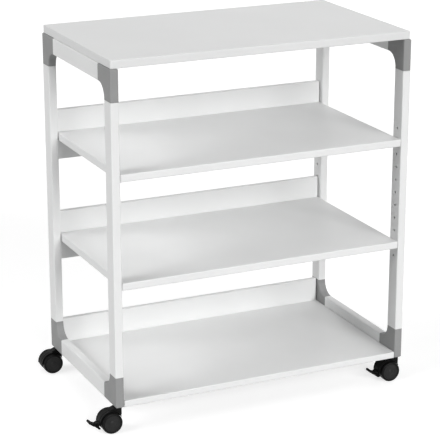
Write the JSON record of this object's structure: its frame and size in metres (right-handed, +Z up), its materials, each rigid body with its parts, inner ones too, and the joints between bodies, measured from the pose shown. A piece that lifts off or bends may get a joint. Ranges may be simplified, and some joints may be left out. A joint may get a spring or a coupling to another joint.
{
  "type": "mobile_file_cart",
  "caption": "Light grey mobile file cart with a flat top panel, open shelves with low back panels, grey moulded corner elbows and black braked twin-wheel casters",
  "frame": {"origin": "on the floor below the middle of the whole cart", "axes": "+X to the right seen from the open front, +Y to the back panels, +Z up"},
  "size_m": [0.824, 0.446, 0.88],
  "materials": {
    "paint": "fine powder coat",
    "panel_paint": "matt laminate",
    "elbow_plastic": "fine moulded grain",
    "caster_plastic": "satin",
    "wheel_plastic": "satin",
    "screw_steel": "zinc plated"
  },
  "bodies": {
    "frame": {"top_rail_left": "paint", "bottom_rail_left": "paint", "top_rail_right": "paint", "bottom_rail_right": "paint", "leg_front_left": "paint", "bottom_elbow_front_left": "elbow_plastic", "top_elbow_front_left": "elbow_plastic", "leg_rear_left": "paint", "bottom_elbow_rear_left": "elbow_plastic", "top_elbow_rear_left": "elbow_plastic", "leg_front_right": "paint", "bottom_elbow_front_right": "elbow_plastic", "top_elbow_front_right": "elbow_plastic", "leg_rear_right": "paint", "bottom_elbow_rear_right": "elbow_plastic", "top_elbow_rear_right": "elbow_plastic", "top_panel": "panel_paint", "upper_shelf": "paint", "upper_back_panel": "paint", "lower_shelf": "paint", "lower_back_panel": "paint", "base_shelf": "paint", "base_back_panel": "paint", "shelf_screw_upper_left": "screw_steel", "back_screw_upper_left": "screw_steel", "shelf_screw_upper_right": "screw_steel", "back_screw_upper_right": "screw_steel", "shelf_screw_lower_left": "screw_steel", "back_screw_lower_left": "screw_steel", "shelf_screw_lower_right": "screw_steel", "back_screw_lower_right": "screw_steel", "base_screw_left": "screw_steel", "base_screw_right": "screw_steel", "top_screw_front_left": "screw_steel", "top_screw_rear_left": "screw_steel", "top_screw_front_right": "screw_steel", "top_screw_rear_right": "screw_steel", "caster_stem_front_left": "screw_steel", "caster_stem_rear_left": "screw_steel", "caster_stem_front_right": "screw_steel", "caster_stem_rear_right": "screw_steel"},
    "swivel_front_left": {"caster_housing_front_left": "caster_plastic", "caster_axle_front_left": "screw_steel"},
    "wheel_front_left_near": {"caster_wheel_front_left_near": "wheel_plastic"},
    "wheel_front_left_far": {"caster_wheel_front_left_far": "wheel_plastic"},
    "lever_front_left": {"brake_lever_front_left": "caster_plastic"},
    "swivel_rear_left": {"caster_housing_rear_left": "caster_plastic", "caster_axle_rear_left": "screw_steel"},
    "wheel_rear_left_near": {"caster_wheel_rear_left_near": "wheel_plastic"},
    "wheel_rear_left_far": {"caster_wheel_rear_left_far": "wheel_plastic"},
    "swivel_front_right": {"caster_housing_front_right": "caster_plastic", "caster_axle_front_right": "screw_steel"},
    "wheel_front_right_near": {"caster_wheel_front_right_near": "wheel_plastic"},
    "wheel_front_right_far": {"caster_wheel_front_right_far": "wheel_plastic"},
    "lever_front_right": {"brake_lever_front_right": "caster_plastic"},
    "swivel_rear_right": {"caster_housing_rear_right": "caster_plastic", "caster_axle_rear_right": "screw_steel"},
    "wheel_rear_right_near": {"caster_wheel_rear_right_near": "wheel_plastic"},
    "wheel_rear_right_far": {"caster_wheel_rear_right_far": "wheel_plastic"}
  },
  "joints": [
    {"name": "swivel_front_left", "type": "hinge", "parent": "frame", "child": "swivel_front_left", "pos_m": [-0.338, -0.2, 0.056], "axis": [0, 0, 1], "continuous": true},
    {"name": "roll_front_left_near", "type": "hinge", "parent": "swivel_front_left", "child": "wheel_front_left_near", "pos_m": [-0.358, -0.2, 0.025], "axis": [0, 1, 0], "continuous": true},
    {"name": "roll_front_left_far", "type": "hinge", "parent": "swivel_front_left", "child": "wheel_front_left_far", "pos_m": [-0.358, -0.2, 0.025], "axis": [0, 1, 0], "continuous": true},
    {"name": "brake_front_left", "type": "hinge", "parent": "swivel_front_left", "child": "lever_front_left", "pos_m": [-0.38887, -0.2, 0.02121], "axis": [0, -1, 0], "range_deg": [0, 20]},
    {"name": "swivel_rear_left", "type": "hinge", "parent": "frame", "child": "swivel_rear_left", "pos_m": [-0.338, 0.2, 0.056], "axis": [0, 0, 1], "continuous": true},
    {"name": "roll_rear_left_near", "type": "hinge", "parent": "swivel_rear_left", "child": "wheel_rear_left_near", "pos_m": [-0.358, 0.2, 0.025], "axis": [0, 1, 0], "continuous": true},
    {"name": "roll_rear_left_far", "type": "hinge", "parent": "swivel_rear_left", "child": "wheel_rear_left_far", "pos_m": [-0.358, 0.2, 0.025], "axis": [0, 1, 0], "continuous": true},
    {"name": "swivel_front_right", "type": "hinge", "parent": "frame", "child": "swivel_front_right", "pos_m": [0.402, -0.2, 0.056], "axis": [0, 0, 1], "continuous": true},
    {"name": "roll_front_right_near", "type": "hinge", "parent": "swivel_front_right", "child": "wheel_front_right_near", "pos_m": [0.382, -0.2, 0.025], "axis": [0, 1, 0], "continuous": true},
    {"name": "roll_front_right_far", "type": "hinge", "parent": "swivel_front_right", "child": "wheel_front_right_far", "pos_m": [0.382, -0.2, 0.025], "axis": [0, 1, 0], "continuous": true},
    {"name": "brake_front_right", "type": "hinge", "parent": "swivel_front_right", "child": "lever_front_right", "pos_m": [0.35113, -0.2, 0.02121], "axis": [0, -1, 0], "range_deg": [0, 20]},
    {"name": "swivel_rear_right", "type": "hinge", "parent": "frame", "child": "swivel_rear_right", "pos_m": [0.402, 0.2, 0.056], "axis": [0, 0, 1], "continuous": true},
    {"name": "roll_rear_right_near", "type": "hinge", "parent": "swivel_rear_right", "child": "wheel_rear_right_near", "pos_m": [0.382, 0.2, 0.025], "axis": [0, 1, 0], "continuous": true},
    {"name": "roll_rear_right_far", "type": "hinge", "parent": "swivel_rear_right", "child": "wheel_rear_right_far", "pos_m": [0.382, 0.2, 0.025], "axis": [0, 1, 0], "continuous": true}
  ]
}
